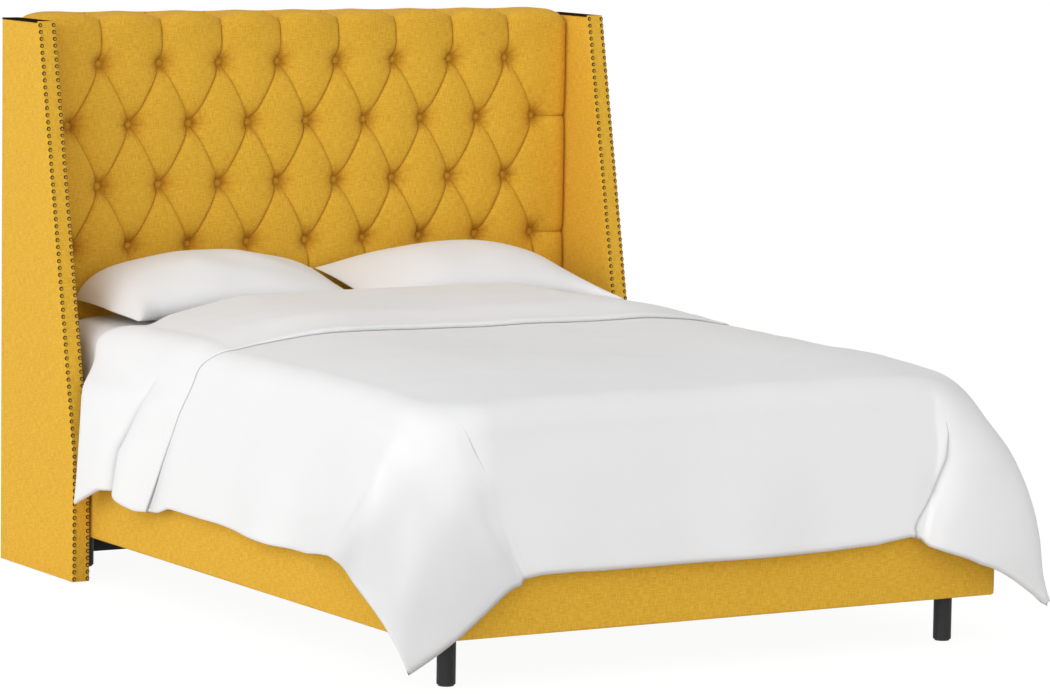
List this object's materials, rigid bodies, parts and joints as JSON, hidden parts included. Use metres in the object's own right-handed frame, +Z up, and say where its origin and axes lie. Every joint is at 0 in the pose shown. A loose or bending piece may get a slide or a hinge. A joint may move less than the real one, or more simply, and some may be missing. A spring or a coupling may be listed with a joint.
{
  "type": "wingback bed",
  "caption": "Upholstered bed frame with a diamond-tufted headboard between tapered nail-trimmed wings, low side and foot rails, slatted deck, mattress, folded duvet and pillows.",
  "frame": {"origin": "on the floor, under the middle of the whole bed's box, which runs from the back of the headboard to the duvet's foot corners", "axes": "+Z up, +Y from the foot towards the headboard, +X towards the right of the bed as seen from its foot"},
  "size_m": [1.7874, 2.272, 1.437],
  "materials": {
    "mustard_fabric": "matte",
    "dark_cap_fabric": "matte",
    "nail_brass": "satin",
    "dust_cloth": "matte",
    "twine": "matte",
    "webbing": "matte",
    "timber": "satin",
    "plywood": "matte",
    "black_wood": "satin",
    "nylon": "matte",
    "zinc_steel": "satin",
    "mattress_ticking": "matte",
    "duvet_cotton": "matte",
    "pillow_cotton": "matte"
  },
  "bodies": {
    "bed_frame": {"button_twines": "twine", "centre_beam": "timber", "centre_leg_foot": "timber", "centre_leg_head": "timber", "corner_blocks": "timber", "foot_corner_plates": "zinc_steel", "foot_plate_bolts": "zinc_steel", "foot_rail": "timber", "foot_rail_cover": "mustard_fabric", "hanger_bolts": "zinc_steel", "head_corner_plates": "zinc_steel", "head_cross_rail": "timber", "head_plate_bolts": "zinc_steel", "headboard_back_cover": "dust_cloth", "headboard_cross_rails": "timber", "headboard_post_left": "timber", "headboard_post_right": "timber", "leg_front_left": "black_wood", "leg_front_right": "black_wood", "leg_glide_front_left": "nylon", "leg_glide_front_right": "nylon", "leg_glide_rear_left": "nylon", "leg_glide_rear_right": "nylon", "leg_rear_left": "black_wood", "leg_rear_right": "black_wood", "lower_headboard_panel": "mustard_fabric", "side_rail_cover_left": "mustard_fabric", "side_rail_cover_right": "mustard_fabric", "side_rail_left": "timber", "side_rail_right": "timber", "slat_ledger_left": "timber", "slat_ledger_right": "timber", "slat_straps": "webbing", "slats": "timber", "tuft_board": "plywood", "tuft_buttons": "mustard_fabric", "tufted_pad": "mustard_fabric", "wing_bolts_left": "zinc_steel", "wing_bolts_right": "zinc_steel", "wing_frame_left": "timber", "wing_frame_right": "timber", "wing_front_band_left": "mustard_fabric", "wing_front_band_right": "mustard_fabric", "wing_glides_left": "nylon", "wing_glides_right": "nylon", "wing_inner_panel_left": "mustard_fabric", "wing_inner_panel_right": "mustard_fabric", "wing_outer_panel_left": "mustard_fabric", "wing_outer_panel_right": "mustard_fabric", "wing_top_cap_left": "dark_cap_fabric", "wing_top_cap_right": "dark_cap_fabric"},
    "mattress": {"mattress": "mattress_ticking"},
    "duvet": {"duvet": "duvet_cotton"},
    "pillow_left": {"pillow_left": "pillow_cotton"},
    "pillow_right": {"pillow_right": "pillow_cotton"},
    "levelling_foot_head": {"levelling_foot_head": "zinc_steel"},
    "levelling_foot_foot": {"levelling_foot_foot": "zinc_steel"}
  },
  "joints": [
    {"name": "mattress_lift", "type": "slide", "parent": "bed_frame", "child": "mattress", "axis": [0, 0, 1], "range_m": [0, 0.45]},
    {"name": "duvet_lift", "type": "slide", "parent": "mattress", "child": "duvet", "axis": [0, 0, 1], "range_m": [0, 0.62]},
    {"name": "pillow_left_lift", "type": "slide", "parent": "mattress", "child": "pillow_left", "axis": [0, 0, 1], "range_m": [0, 0.35]},
    {"name": "pillow_right_lift", "type": "slide", "parent": "mattress", "child": "pillow_right", "axis": [0, 0, 1], "range_m": [0, 0.35]},
    {"name": "levelling_foot_head_travel", "type": "slide", "parent": "bed_frame", "child": "levelling_foot_head", "axis": [0, 0, 1], "range_m": [0, 0.012]},
    {"name": "levelling_foot_foot_travel", "type": "slide", "parent": "bed_frame", "child": "levelling_foot_foot", "axis": [0, 0, 1], "range_m": [0, 0.012]}
  ]
}
